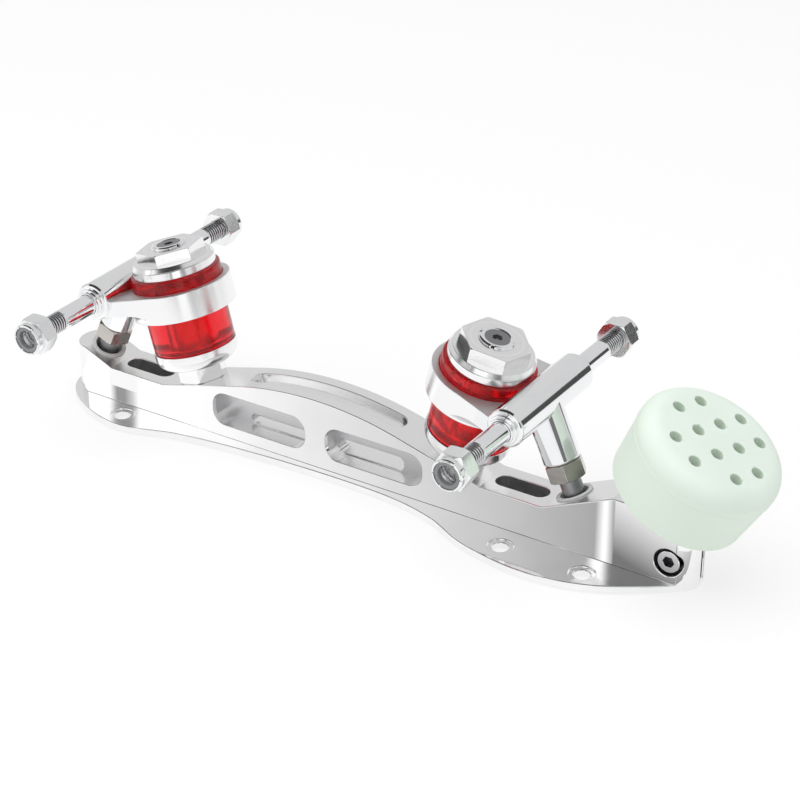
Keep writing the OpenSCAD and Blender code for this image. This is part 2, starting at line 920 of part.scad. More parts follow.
module axle_nut_insert() {
    difference() {
        translate([0, 0, axle_nut_height - insert_inset - insert_thickness])
            cylinder(d = insert_d, h = insert_thickness);
        cylinder(d = insert_hole_d, h = far);
    }
}

module axle_nuts() {
    color("white")
        at_axle()
            both_ends()
                translate([0, 0, axle_nut_spread / 2])
                    axle_nut();
}

module axle_nut_inserts() {
    color("gray")
        at_axle()
            both_ends()
                translate([0, 0, axle_nut_spread / 2])
                    axle_nut_insert();
}

module pivot_pin() {
    color("dimgray")
        at_pivot()
            translate([0, 0, -pivot_ball_depth]) {
                sphere(d = pivot_pin_d);
                cylinder(d = pivot_pin_d, h = pivot_ball_depth + pivot_boss_gap + pivot_pin_grip);
            }
}

module pivot_jam_nut() {
    color("rosybrown")
        at_pivot()
            translate([0, 0, pivot_boss_gap - pivot_nut_height])
                difference() {
                    hex(pivot_nut_af, pivot_nut_height, tube_chamfer);
                    translate([0, 0, -over])
                        cylinder(d = pivot_pin_d + 2 * thread_gap, h = far);
                }
}

module pivot_cup() {
    socket_r = pivot_pin_d / 2 + ball_gap;
    color("gray")
        at_pivot()
            difference() {
                union() {
                    translate([0, 0, -pivot_cup_depth])
                        cylinder(d = pivot_cup_d, h = pivot_cup_depth + pivot_cup_rim);
                    cylinder(d = pivot_cup_rim_d, h = pivot_cup_rim);
                }
                translate([0, 0, -pivot_ball_depth]) {
                    sphere(socket_r);
                    cylinder(r1 = socket_r, r2 = pivot_cup_mouth_d / 2, h = pivot_ball_depth + pivot_cup_rim);
                }
                translate([0, 0, pivot_cup_rim])
                    cylinder(d = pivot_cup_mouth_d, h = over);
            }
}

// The toe stop
module stem_shape(gap) {
    translate([0, 0, -stem_reach])
        cylinder(d = stem_d + 2 * gap, h = stem_reach + stem_plate_inset + stem_plate_height);
    translate([0, 0, stem_plate_inset])
        cylinder(d = stem_plate_d + 2 * gap, h = stem_plate_height);
}

module toe_stop_stem() {
    color("silver")
        at_stop()
            stem_shape(0);
}

module toe_stop_rubber() {
    edge_r = pad_d / 2 - pad_edge;
    edge_z = pad_height - pad_dome - pad_edge;
    ridge_z = pad_height - pad_ridge_drop;
    flare = (pad_d - pad_foot_d) / 2 / edge_z;
    color("honeydew")
        at_stop()
            difference() {
                rotate_extrude()
                    polygon(concat(
                        [
                            [0, 0],
                            [pad_foot_d / 2 - pad_foot_chamfer, 0],
                            [pad_foot_d / 2 + flare * pad_foot_chamfer, pad_foot_chamfer]
                        ],
                        [for (i = [-1:1])
                            let (z = ridge_z + i * pad_ridge_height / 2)
                            [pad_foot_d / 2 + flare * z + (1 - abs(i)) * pad_ridge, z]],
                        [for (i = [0:arc_steps / 2])
                            let (a = 180 * i / arc_steps)
                            [edge_r + pad_edge * cos(a), edge_z + pad_edge * sin(a)]],
                        [[edge_r / 2, pad_height - pad_dome / 4], [0, pad_height]]
                    ));
                stem_shape(thread_gap);
                rotate([0, 0, -pad_hole_turn])
                    for (row = [-hole_reach:2:hole_reach], place = [-hole_reach:2:hole_reach])
                        if (abs(row * place) < hole_reach * hole_reach)
                            translate([row * pad_hole_pitch / 2, place * pad_hole_pitch / 2,
                                pad_height - pad_hole_depth])
                                cylinder(d = pad_hole_d, h = far, $fn = 32);
            }
}

module toe_stop_clamp_screw() {
    head_z = spine_width / 2 - clamp_inset - clamp_head_height;
    color("white")
        at_clamp()
            difference() {
                union() {
                    translate([0, 0, head_z])
                        chamfered(clamp_head_d, clamp_head_height, fine_chamfer);
                    translate([0, 0, clamp_inset - spine_width / 2])
                        cylinder(d = clamp_d, h = head_z + spine_width / 2);
                }
                translate([0, 0, head_z + clamp_head_height - clamp_socket_depth])
                    hex_hole(clamp_socket_af, far);
            }
}

module front_kingpin() { kingpin(); }
module rear_kingpin() { rear() kingpin(); }
module front_kingpin_jam_nut() { kingpin_jam_nut(); }
module rear_kingpin_jam_nut() { rear() kingpin_jam_nut(); }
module front_lower_retainer() { lower_retainer(); }
module rear_lower_retainer() { rear() lower_retainer(); }
module front_lower_bushing() { lower_bushing(); }
module rear_lower_bushing() { rear() lower_bushing(); }
module front_upper_bushing() { upper_bushing(); }
module rear_upper_bushing() { rear() upper_bushing(); }
module front_upper_retainer() { upper_retainer(); }
module rear_upper_retainer() { rear() upper_retainer(); }
module front_kingpin_nut() { kingpin_nut(); }
module rear_kingpin_nut() { rear() kingpin_nut(); }
module front_kingpin_lock_ring() { kingpin_lock_ring(); }
module rear_kingpin_lock_ring() { rear() kingpin_lock_ring(); }
module front_hanger() { hanger(); }
module rear_hanger() { rear() hanger(); }
module front_axle() { axle(); }
module rear_axle() { rear() axle(); }
module front_axle_nuts() { axle_nuts(); }
module rear_axle_nuts() { rear() axle_nuts(); }
module front_axle_nut_inserts() { axle_nut_inserts(); }
module rear_axle_nut_inserts() { rear() axle_nut_inserts(); }
module front_pivot_pin() { pivot_pin(); }
module rear_pivot_pin() { rear() pivot_pin(); }
module front_pivot_jam_nut() { pivot_jam_nut(); }
module rear_pivot_jam_nut() { rear() pivot_jam_nut(); }
module front_pivot_cup() { pivot_cup(); }
module rear_pivot_cup() { rear() pivot_cup(); }

base_plate();
front_kingpin();
rear_kingpin();
front_kingpin_jam_nut();
rear_kingpin_jam_nut();
front_lower_retainer();
rear_lower_retainer();
front_lower_bushing();
rear_lower_bushing();
front_upper_bushing();
rear_upper_bushing();
front_upper_retainer();
rear_upper_retainer();
front_kingpin_nut();
rear_kingpin_nut();
front_kingpin_lock_ring();
rear_kingpin_lock_ring();
front_hanger();
rear_hanger();
front_axle();
rear_axle();
front_axle_nuts();
rear_axle_nuts();
front_axle_nut_inserts();
rear_axle_nut_inserts();
front_pivot_pin();
rear_pivot_pin();
front_pivot_jam_nut();
rear_pivot_jam_nut();
front_pivot_cup();
rear_pivot_cup();
toe_stop_rubber();
toe_stop_stem();
toe_stop_clamp_screw();
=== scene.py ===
"""Looks of the roller skate plate: rounded edges, finishes, bushings, axle threads, studio and camera."""

import json
import math

import bmesh
import bpy
from mathutils import Matrix, Vector


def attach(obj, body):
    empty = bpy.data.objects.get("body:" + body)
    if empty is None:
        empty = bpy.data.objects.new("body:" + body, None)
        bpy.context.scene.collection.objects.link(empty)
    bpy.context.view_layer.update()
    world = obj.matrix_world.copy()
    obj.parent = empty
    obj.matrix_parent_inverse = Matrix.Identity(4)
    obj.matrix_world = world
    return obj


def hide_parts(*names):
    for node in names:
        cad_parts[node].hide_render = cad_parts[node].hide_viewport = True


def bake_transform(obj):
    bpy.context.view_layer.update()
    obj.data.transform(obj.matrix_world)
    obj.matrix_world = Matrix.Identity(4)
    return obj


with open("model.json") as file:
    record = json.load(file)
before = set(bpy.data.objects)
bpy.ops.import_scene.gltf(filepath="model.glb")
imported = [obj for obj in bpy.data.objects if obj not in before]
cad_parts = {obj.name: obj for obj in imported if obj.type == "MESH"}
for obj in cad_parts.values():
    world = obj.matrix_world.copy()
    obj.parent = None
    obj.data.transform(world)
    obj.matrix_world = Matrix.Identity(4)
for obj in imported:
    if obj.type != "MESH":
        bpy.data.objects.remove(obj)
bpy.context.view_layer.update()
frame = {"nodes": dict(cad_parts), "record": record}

MM = 0.001
TRUCKS = {"front": 1, "rear": -1}

# The plate, in millimetres: the valley between its kingpin and pivot seats, the nose, spine and flange
VALLEY_HEIGHT = 17.0
VALLEY_START = 72.0
VALLEY_END = 97.5
NOSE_REACH = 157.0
SPINE_WIDTH = 18.7
FLANGE_TOP = 3.0
FOOT_HOLLOW = 0.22

# Half width, half length and top of the stretch of the spine with milled recesses, whose walls get painted
# shade, in millimetres
RECESS_HALF = 7.5
RECESS_REACH = 100.0
RECESS_TOP = 21.6

# The kingpins in the side view, and what is stacked on them, in millimetres
KINGPIN_AT = 58.6
KINGPIN_LEAN = math.radians(15)
KINGPIN_SEAT = round(VALLEY_HEIGHT + (VALLEY_START - KINGPIN_AT) * math.tan(KINGPIN_LEAN), 2)
JAM_NUT_HEIGHT = 6.7
RETAINER_HEIGHT = 7.1
LOWER_BUSHING_GAP = 15.3
RING_HEIGHT = 11.0
UPPER_BUSHING_GAP = 4.9
BUSHING_SUNK = 3.5
BUSHING_BORE = 7.0
BUSHING_EDGE = 0.7
BUSHING_SWELL = 0.12

# Heights along a kingpin, in millimetres
RETAINER_RIM = JAM_NUT_HEIGHT + RETAINER_HEIGHT
RING_BOTTOM = RETAINER_RIM + LOWER_BUSHING_GAP
RING_TOP = RING_BOTTOM + RING_HEIGHT
UPPER_BUSHING_TOP = RING_TOP + UPPER_BUSHING_GAP

# Each bushing's foot and head along the kingpin and its radius, in millimetres
LOWER_BUSHING = (RETAINER_RIM, RING_BOTTOM + BUSHING_SUNK, 15.9)
UPPER_BUSHING = (RING_TOP - BUSHING_SUNK, UPPER_BUSHING_TOP, 17.4)

# The axles, in millimetres, and the shape of their threads' crests and flanks
WHEELBASE = 182.0
AXLE_AT = WHEELBASE / 2
AXLE_HEIGHT = 54.3
AXLE_R = 4.0
AXLE_HALF = 58.5
AXLE_PLAIN = 44.0
AXLE_TIP = 0.8
THREAD_R = 3.9
THREAD_PITCH = 1.25
THREAD_DEPTH = 0.66
THREAD_CREST = 1.5
THREAD_FLANK = 4.4
PLAIN_EDGE = 0.5
GROOVE_R = 3.55

# The lock rings on the kingpin nuts, in millimetres
LOCK_FOOT = 54.4
LOCK_BORE = 5.05
LOCK_LIP = 4.4
LOCK_R = 6.85
LOCK_SIDE = 0.15
LOCK_CROWN = 0.85
NOTCH_R = 5.85
NOTCH_HALF = 0.6
NOTCH_TURN = math.radians(16)

# The pivots in the side view, in millimetres: square on the slope past the valley, in line with the axle
PIVOT_LEAN = math.radians(-24)
AXLE_OUT = AXLE_AT - VALLEY_END
AXLE_UP = AXLE_HEIGHT - VALLEY_HEIGHT
PIVOT_OUT = (AXLE_OUT * math.cos(PIVOT_LEAN) - AXLE_UP * math.sin(PIVOT_LEAN)) * math.cos(PIVOT_LEAN)
PIVOT_AT = round(VALLEY_END + PIVOT_OUT, 3)
PIVOT_SEAT = round(VALLEY_HEIGHT + (PIVOT_AT - VALLEY_END) * math.tan(-PIVOT_LEAN), 3)

# The toe stop and its clamp screw, in millimetres
STOP_SETBACK = 11.3
STOP_AT = NOSE_REACH - STOP_SETBACK
STOP_HEIGHT = 33.3
STOP_LEAN = math.radians(28)
CLAMP_SETBACK = 9.0
CLAMP_AT = NOSE_REACH - CLAMP_SETBACK
CLAMP_HEIGHT = 11.0
CLAMP_INSET = 0.6
CLAMP_FACE = CLAMP_INSET - SPINE_WIDTH / 2
CLAMP_RECESS_R = 5.4


def kingpin_frame(end):
    """Matrix from the kingpin's own millimetres, with Z along the pin, to the row frame in metres."""
    side = TRUCKS[end]
    place = Matrix.Translation(Vector((side * KINGPIN_AT, 0, KINGPIN_SEAT)) * MM)
    return place @ Matrix.Rotation(side * KINGPIN_LEAN, 4, "Y") @ Matrix.Scale(MM, 4)


# Materials

def grey(level):
    return (level, level, level)


class Nodes:
    """A node tree whose sockets are fed with values or with the outputs of other nodes."""

    def __init__(self, owner):
        owner.use_nodes = True
        self.tree = owner.node_tree

    def add(self, kind, **inputs):
        """A new node and its inputs, with _ for a space in their names."""
        node = self.tree.nodes.new(kind)
        for name, value in inputs.items():
            self.feed(node, name.replace("_", " "), value)
        return node

    def feed(self, node, socket, value):
        if isinstance(value, bpy.types.NodeSocket):
            self.tree.links.new(value, node.inputs[socket])
        else:
            node.inputs[socket].default_value = value

    def pair(self, kind, operation, first, second):
        node = self.add(kind)
        node.operation = operation
        self.feed(node, 0, first)
        self.feed(node, 1, second)
        return node.outputs["Value"]

    def math(self, operation, first, second=0.0):
        return self.pair("ShaderNodeMath", operation, first, second)

    def vector_math(self, operation, first, second):
        return self.pair("ShaderNodeVectorMath", operation, first, second)

    def absolute(self, value):
        return self.math("ABSOLUTE", value)

    def above(self, value, limit):
        """1 where a value is above a limit, 0 elsewhere."""
        return self.math("GREATER_THAN", value, limit)

    def below(self, value, limit):
        return self.math("LESS_THAN", value, limit)

    def all_of(self, *masks):
        together = masks[0]
        for mask in masks[1:]:
            together = self.math("MULTIPLY", together, mask)
        return together

    def hypotenuse(self, first, second):
        squares = self.math("ADD", self.math("POWER", first, 2), self.math("POWER", second, 2))
        return self.math("SQRT", squares)

    def parts(self, vector):
        """The outputs X, Y and Z of a vector."""
        return self.add("ShaderNodeSeparateXYZ", Vector=vector).outputs

    def mix(self, kind, factor, first, second):
        """The first of two values of a kind, RGBA or FLOAT, at factor 0 and the second at factor 1."""
        node = self.add("ShaderNodeMix")
        node.data_type = kind
        self.feed(node, "Factor", factor)
        self.feed(node, "A", first)
        self.feed(node, "B", second)
        return node.outputs["Result"]

    def show(self, factor, first, second):
        """The first of two shaders at factor 0 and the second at factor 1, as the material's surface."""
        mixed = self.add("ShaderNodeMixShader", Fac=factor)
        self.feed(mixed, 1, first)
        self.feed(mixed, 2, second)
        self.add("ShaderNodeOutputMaterial", Surface=mixed.outputs["Shader"])


class Surface(Nodes):
    """A material built around one Principled shader, plain until patterns are fed to it."""

    def __init__(self, name, color, metallic, roughness):
        self.material = bpy.data.materials.new(name)
        super().__init__(self.material)
        self.shader = self.tree.nodes["Principled BSDF"]
        coordinates = self.add("ShaderNodeTexCoord").outputs
        self.place = coordinates["Object"]
        self.normal = coordinates["Normal"]
        self.set(Metallic=metallic, Base_Color=(*color, 1), Roughness=roughness)

    def set(self, **values):
        """Values or outputs for the shader's own sockets, with _ for a space in their names."""
        for name, value in values.items():
            self.feed(self.shader, name.replace("_", " "), value)

    def noise(self, scale, detail=3.0, stretch=(1, 1, 1)):
        """Noise from 0 to 1 in the row frame, drawn out along an axis where stretch is small."""
        mapping = self.add("ShaderNodeMapping", Vector=self.place, Scale=stretch)
        texture = self.add("ShaderNodeTexNoise", Vector=mapping.outputs["Vector"], Scale=scale, Detail=detail)
        return texture.outputs["Fac"]

    def between(self, value, low, high, start=0.3, stop=0.7):
        """A number from low to high as a value goes from start to stop."""
        node = self.add(
            "ShaderNodeMapRange", Value=value, From_Min=start, From_Max=stop, To_Min=low, To_Max=high)
        return node.outputs["Result"]

    def tint(self, pattern, dark, light):
        shade = self.between(pattern, 0, 1)
        self.set(Base_Color=self.mix("RGBA", shade, (*dark, 1), (*light, 1)))

    def gloss(self, pattern, smooth, dull):
        self.set(Roughness=self.between(pattern, smooth, dull))

    def patch(self, mask, color, roughness):
        """Another colour and roughness where a mask is 1."""
        for kind, socket, value in (("RGBA", "Base Color", (*color, 1)), ("FLOAT", "Roughness", roughness)):
            before = self.shader.inputs[socket].links[0].from_socket
            self.feed(self.shader, socket, self.mix(kind, mask, before, value))

    def bump(self, height, strength, depth):
        """Relief with a depth in millimetres."""
        node = self.add("ShaderNodeBump", Height=height, Strength=strength, Distance=depth * MM)
        self.set(Normal=node.outputs["Normal"])


def metal(name, dark, light, gloss, lines, relief):
    """A polished metal: clouds of a slightly different tone, and faint polishing lines along X."""
    surface = Surface(name, light, 1.0, gloss[0])
    clouds = surface.noise(55, detail=4)
    streaks = surface.noise(lines, stretch=(0.06, 1, 1))
    surface.tint(clouds, dark, light)
    surface.gloss(streaks, *gloss)
    surface.bump(streaks, relief, depth=0.05)
    return surface


def kingpin_place(surface):
    """Distance of the shaded point from the nearer kingpin's axis, and its height along it."""
    place = surface.parts(surface.place)
    out = surface.math("SUBTRACT", surface.absolute(place["X"]), KINGPIN_AT * MM)
    up = surface.math("SUBTRACT", place["Z"], KINGPIN_SEAT * MM)
    cos, sin = math.cos(KINGPIN_LEAN), math.sin(KINGPIN_LEAN)
    across_pin = surface.math(
        "SUBTRACT", surface.math("MULTIPLY", out, cos), surface.math("MULTIPLY", up, sin))
    along_pin = surface.math(
        "ADD", surface.math("MULTIPLY", out, sin), surface.math("MULTIPLY", up, cos))
    return surface.hypotenuse(across_pin, place["Y"]), along_pin


def turned_aluminium():
    """Lathe-turned aluminium: fine rings round the kingpin, the same all the way round it."""
    dark, light = (0.86, 0.86, 0.865), grey(0.95)
    surface = Surface("turned_aluminium", light, 1.0, 0.18)
    radius, along_pin = kingpin_place(surface)
    profile = surface.add("ShaderNodeCombineXYZ", X=radius, Y=along_pin).outputs["Vector"]
    rings = surface.add("ShaderNodeTexNoise", Vector=profile, Scale=2600, Detail=2).outputs["Fac"]
    surface.tint(rings, dark, light)
    surface.gloss(surface.noise(80), 0.14, 0.2)
    surface.bump(rings, 0.12, depth=0.05)
    return surface


def chrome(name):
    return metal(name, (0.86, 0.87, 0.89), (0.92, 0.92, 0.94), gloss=(0.03, 0.06), lines=800, relief=0.01)


def threaded_chrome():
    """The axles' chrome, with painted shade in the thread's grooves, which are also rougher, and dull faced
    ends.
    """
    surface = chrome("threaded_chrome")
    place = surface.parts(surface.place)
    out = surface.math("SUBTRACT", surface.absolute(place["X"]), AXLE_AT * MM)
    up = surface.math("SUBTRACT", place["Z"], AXLE_HEIGHT * MM)
    radius = surface.hypotenuse(out, up)
    # Painted shade: the thread's grooves are dark, and rougher
    groove_shade = surface.between(radius, 1, 0, GROOVE_R * MM, THREAD_R * MM)
    surface.patch(groove_shade, (0.1, 0.1, 0.105), roughness=0.4)
    faced = surface.above(surface.absolute(place["Y"]), (AXLE_HALF - AXLE_TIP) * MM)
    surface.patch(faced, grey(0.9), roughness=0.45)
    return surface


def kingpin_steel():
    """A kingpin: bright plated shank inside the bushings, dull dark end above the nut."""
    surface = metal(
        "kingpin_steel", (0.86, 0.86, 0.87), (0.92, 0.92, 0.93), gloss=(0.2, 0.3), lines=1400, relief=0.05)
    along_pin = kingpin_place(surface)[1]
    surface.patch(surface.above(along_pin, (LOCK_FOOT - 1) * MM), (0.3, 0.3, 0.31), roughness=0.4)
    return surface


def notch_shaded_chrome():
    """A lock ring's chrome, with painted shade on the inner wall of its notches."""
    wall = 0.03
    surface = chrome("notch_shaded_chrome")
    radius, along_pin = kingpin_place(surface)
    under_crown = surface.below(along_pin, (LOCK_FOOT + LOCK_SIDE + 0.6 * LOCK_CROWN) * MM)
    inner_side = surface.below(radius, (NOTCH_R + wall) * MM)
    outer_side = surface.above(radius, (NOTCH_R - wall) * MM)
    # Painted shade: the notches' inner wall is dark
    surface.patch(surface.all_of(under_crown, inner_side, outer_side), grey(0.04), roughness=0.5)
    return surface


def socket_shaded_chrome():
    """The clamp screw's chrome, with painted shade below the head's face."""
    surface = chrome("socket_shaded_chrome")
    depth = surface.parts(surface.place)["Y"]
    # Painted shade: the socket and all below the head's face are dark
    surface.patch(surface.above(depth, (CLAMP_FACE + 0.5) * MM), (0.14, 0.14, 0.145), roughness=0.3)
    return surface


def hanger_polish():
    """A hanger's polish, satin on and around the ring and duller on top of its web."""
    satin_reach, web_top, level_from = 24.0, RING_TOP + 0.6, 0.7
    surface = metal(
        "hanger_polish", (0.86, 0.87, 0.88), (0.92, 0.925, 0.93), gloss=(0.06, 0.1), lines=700, relief=0.01)
    radius, along_pin = kingpin_place(surface)
    surface.patch(surface.below(radius, satin_reach * MM), (0.92, 0.92, 0.925), roughness=0.22)
    level = surface.above(surface.parts(surface.normal)["Z"], level_from)
    low = surface.below(along_pin, web_top * MM)
    surface.patch(surface.all_of(level, low), grey(0.95), roughness=0.6)
    return surface


def machined_plate():
    """The plate's polish, with a satin deck, and rougher walls with painted shade in its windows, slots and
    screw recess.
    """
    level_from = 0.5
    surface = metal(
        "plate_aluminium", (0.9, 0.9, 0.905), grey(0.95), gloss=(0.03, 0.055), lines=900, relief=0.02)
    place = surface.parts(surface.place)
    tilt = surface.parts(surface.normal)["Z"]
    above_flange = surface.above(place["Z"], (FLANGE_TOP + 0.2) * MM)
    level = surface.above(tilt, level_from)
    surface.patch(surface.all_of(above_flange, level), grey(0.93), roughness=0.26)
    # Painted shade: the upright walls of the windows and slots inside the spine are darker, and rougher
    upright = surface.below(surface.absolute(tilt), level_from)
    inside = surface.below(surface.absolute(place["Y"]), RECESS_HALF * MM)
    along = surface.below(surface.absolute(place["X"]), RECESS_REACH * MM)
    under = surface.below(place["Z"], RECESS_TOP * MM)
    recess_wall_shade = surface.all_of(above_flange, upright, inside, along, under)
    surface.patch(recess_wall_shade, (0.66, 0.66, 0.67), roughness=0.4)
    # Painted shade: the recess round the clamp screw is darker, and rougher
    side_view = surface.add("ShaderNodeCombineXYZ", X=place["X"], Z=place["Z"]).outputs["Vector"]
    from_clamp = surface.vector_math("DISTANCE", side_view, (CLAMP_AT * MM, 0, CLAMP_HEIGHT * MM))
    near = surface.below(from_clamp, (CLAMP_RECESS_R + 0.05) * MM)
    sunk = surface.above(place["Y"], (CLAMP_FACE - 0.3) * MM)
    surface.patch(surface.all_of(near, sunk), (0.3, 0.3, 0.31), roughness=0.4)
    return surface


def urethane():
    """Clear red urethane: light passes through it, and faint streaks run up it."""
    surface = Surface("red_urethane", (0.95, 0.01, 0.02), 0.0, 0.12)
    streaks = surface.noise(260, detail=2, stretch=(1, 1, 0.08))
    surface.tint(streaks, (0.92, 0.012, 0.02), (1.0, 0.03, 0.045))
    surface.gloss(surface.noise(120), 0.13, 0.2)
    surface.set(IOR=1.4, Transmission_Weight=0.9)
    surface.set(Subsurface_Weight=0.5, Subsurface_Scale=0.006, Subsurface_Radius=(1.0, 0.05, 0.04))
    surface.bump(surface.noise(900, detail=2), 0.03, depth=0.05)
    return surface


def rubber(name, dark, light, grain, relief):
    surface = Surface(name, light, 0.0, 0.6)
    surface.tint(surface.noise(40, detail=5), dark, light)
    surface.gloss(surface.noise(300), 0.5, 0.68)
    surface.bump(surface.noise(grain, detail=4), relief, depth=0.1)
    return surface


def mint_rubber():
    """The toe stop's rubber, with painted shade down its side, a little yellower there."""
    surface = rubber("mint_rubber", (0.77, 0.87, 0.78), (0.82, 0.92, 0.84), grain=1400, relief=0.12)
    # Painted shade: faces turned away from the stop's axis are darker
    tilt = surface.vector_math("DOT_PRODUCT", surface.normal, (math.sin(STOP_LEAN), 0, math.cos(STOP_LEAN)))
    side = surface.between(tilt, 1, 0, start=0.1, stop=0.8)
    surface.patch(side, (0.75, 0.85, 0.745), roughness=0.6)
    return surface


FINISHES = {
    "plate_aluminium": machined_plate(),
    "hanger_polish": hanger_polish(),
    "turned_aluminium": turned_aluminium(),
    "nut_aluminium": metal(
        "nut_aluminium", (0.84, 0.84, 0.85), grey(0.92), gloss=(0.1, 0.18), lines=1200, relief=0.05),
    "chrome": chrome("chrome"),
    "zinc": metal("zinc", (0.84, 0.85, 0.86), grey(0.93), gloss=(0.1, 0.18), lines=1500, relief=0.04),
    "nickel": metal(
        "nickel", (0.42, 0.4, 0.37), (0.56, 0.53, 0.5), gloss=(0.14, 0.26), lines=1300, relief=0.08),
    "dark_steel": metal(
        "dark_steel", (0.27, 0.27, 0.28), (0.36, 0.36, 0.37), gloss=(0.32, 0.44), lines=1400, relief=0.1),
    "grey_nylon": rubber("grey_nylon", (0.22, 0.225, 0.23), (0.29, 0.295, 0.3), grain=1800, relief=0.08),
    "cup_urethane": rubber("cup_urethane", grey(0.68), grey(0.75), grain=1500, relief=0.08),
    "red_urethane": urethane(),
    "mint_rubber": mint_rubber(),
}
PIECE_FINISHES = {
    "axle": threaded_chrome(),
    "kingpin": kingpin_steel(),
    "kingpin_lock_ring": notch_shaded_chrome(),
    "toe_stop_clamp_screw": socket_shaded_chrome(),
}
SLOT_OF = {subpart["node"]: subpart["material_slot"] for subpart in frame["record"]["subparts"]}
BODY_OF = {node: body for body, nodes in frame["record"]["behaviour"]["bodies"].items() for node in nodes}


def paint(obj, slot, piece=None):
    finish = PIECE_FINISHES.get(piece, FINISHES[slot])
    obj.data.materials.clear()
    obj.data.materials.append(finish.material)


for name, slot in SLOT_OF.items():
    paint(frame["nodes"][name], slot)


# Rounded copies of the rigid pieces

def leaning(x, z, lean):
    """An axis in the side view, given in millimetres: a point on it, in metres, and its direction."""
    return Vector((x, 0, z)) * MM, Vector((math.sin(lean), 0, math.cos(lean)))


def across(x, z):
    """An axis across the plate, given in the same way."""
    return Vector((x, 0, z)) * MM, Vector((0, 1, 0))


AXES = {
    "kingpin": leaning(KINGPIN_AT, KINGPIN_SEAT, KINGPIN_LEAN),
    "pivot": leaning(PIVOT_AT, PIVOT_SEAT, PIVOT_LEAN),
    "stop": leaning(STOP_AT, STOP_HEIGHT, STOP_LEAN),
    "axle": across(AXLE_AT, AXLE_HEIGHT),
    "clamp": across(CLAMP_AT, CLAMP_HEIGHT),
}

# Width of each piece's rounded edges, in millimetres, and the axes that its turned faces go round
TRUCK_PIECES = {
    "hanger": (0.4, ("kingpin", "axle", "pivot")),
    "kingpin": (0.15, ("kingpin",)),
    "kingpin_jam_nut": (0.2, ("kingpin",)),
    "lower_retainer": (0.25, ("kingpin",)),
    "upper_retainer": (0.1, ("kingpin",)),
    "kingpin_nut": (0.15, ("kingpin",)),
    "axle_nuts": (0.1, ("axle",)),
    "axle_nut_inserts": (0.12, ("axle",)),
    "pivot_pin": (0.1, ("pivot",)),
    "pivot_jam_nut": (0.15, ("pivot",)),
    "pivot_cup": (0.15, ("pivot",)),
}
PLATE_EDGE = 0.45
PLATE_PIECES = {
    "toe_stop_rubber": (0.35, ("stop",)),
    "toe_stop_stem": (0.3, ("stop",)),
    "toe_stop_clamp_screw": (0.1, ("clamp",)),
}
WELD = 0.002 * MM
TURNED_FIT = 0.004 * MM
TURNED_COS = math.cos(math.radians(13))
SHARP_EDGE = math.radians(28)
SMOOTH_EDGE = math.radians(13)


def arm(point, axis):
    """The vector to a point from the nearest place on an axis."""
    start, along = axis
    offset = point - start
    return offset - along * offset.dot(along)


def turned_about(face, axes):
    """The index of the axis that a turned face goes round, or -1."""
    for index, axis in enumerate(axes):
        arms = [arm(corner.co, axis) for corner in face.verts]
        radii = [a.length for a in arms]
        level = max(radii) - min(radii) < TURNED_FIT
        if level and all(abs(face.normal.dot(a)) > TURNED_COS * r for a, r in zip(arms, radii)):
            return index
    return -1


def is_foot(edge, height):
    """Whether an edge is an inside corner that lies at a height."""
    if not edge.is_manifold or edge.is_convex or edge.calc_face_angle() < SHARP_EDGE:
        return False
    return all(abs(corner.co.z - height) < WELD for corner in edge.verts)


class RoundedShape:
    """A CAD node's mesh with its outer edges rounded off, which knows the true normal at each corner."""

    def __init__(self, mesh, width, axes, foot=None):
        self.axes = axes
        self.shape = bmesh.new()
        self.shape.from_mesh(mesh)
        bmesh.ops.remove_doubles(self.shape, verts=self.shape.verts, dist=WELD)
        self.turned = self.shape.faces.layers.int.new("turned")
        for face in self.shape.faces:
            face[self.turned] = turned_about(face, axes)
        sharp = [e for e in self.shape.edges if e.is_manifold and e.calc_face_angle() > SHARP_EDGE]
        self.strips = set()
        self.round_off([e for e in sharp if e.is_convex], width)
        if foot:
            height, hollow = foot
            self.round_off([e for e in self.shape.edges if is_foot(e, height)], hollow)

    def round_off(self, edges, width):
        made = bmesh.ops.bevel(
            self.shape, geom=edges, offset=width, offset_type="OFFSET", segments=2, profile=0.5,
            affect="EDGES", clamp_overlap=False)
        self.strips.update(made["faces"])
        self.shape.normal_update()

    def main_normal(self, loop):
        """The normal at a corner of a face that isn't part of a rounded edge."""
        face = loop.face
        index = face[self.turned]
        if index >= 0:
            radial = arm(loop.vert.co, self.axes[index]).normalized()
            return radial if radial.dot(face.normal) > 0 else -radial
        total = Vector()
        for other in loop.vert.link_loops:
            near = other.face
            level = near.normal.angle(face.normal, math.pi) < SMOOTH_EDGE
            if level and near not in self.strips and near[self.turned] < 0:
                total += near.normal * other.calc_angle() * near.calc_area()
        return total.normalized() if total.length else face.normal

    def to_mesh(self, name):
        """The mesh, where a rounded edge takes its normals from the faces beside it."""
        corners, sums = {}, {}
        for face in self.shape.faces:
            face.smooth = True
            if face not in self.strips:
                for loop in face.loops:
                    corners[loop] = self.main_normal(loop)
                    sums[loop.vert] = sums.get(loop.vert, Vector()) + corners[loop]
        normals = []
        for face in self.shape.faces:
            for loop in face.loops:
                normals.append(corners.get(loop) or sums.get(loop.vert, loop.vert.normal).normalized())
        mesh = bpy.data.meshes.new(name)
        self.shape.to_mesh(mesh)
        mesh.normals_split_custom_set(normals)
        return mesh


def add_rounded(name, piece, width, axes, foot=None):
    mesh = RoundedShape(frame["nodes"][name].data, width * MM, axes, foot).to_mesh(f"{name}_finished")
    obj = bpy.data.objects.new(mesh.name, mesh)
    bpy.context.scene.collection.objects.link(obj)
    paint(obj, SLOT_OF[name], piece)
    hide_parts(name)
    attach(obj, BODY_OF[name])


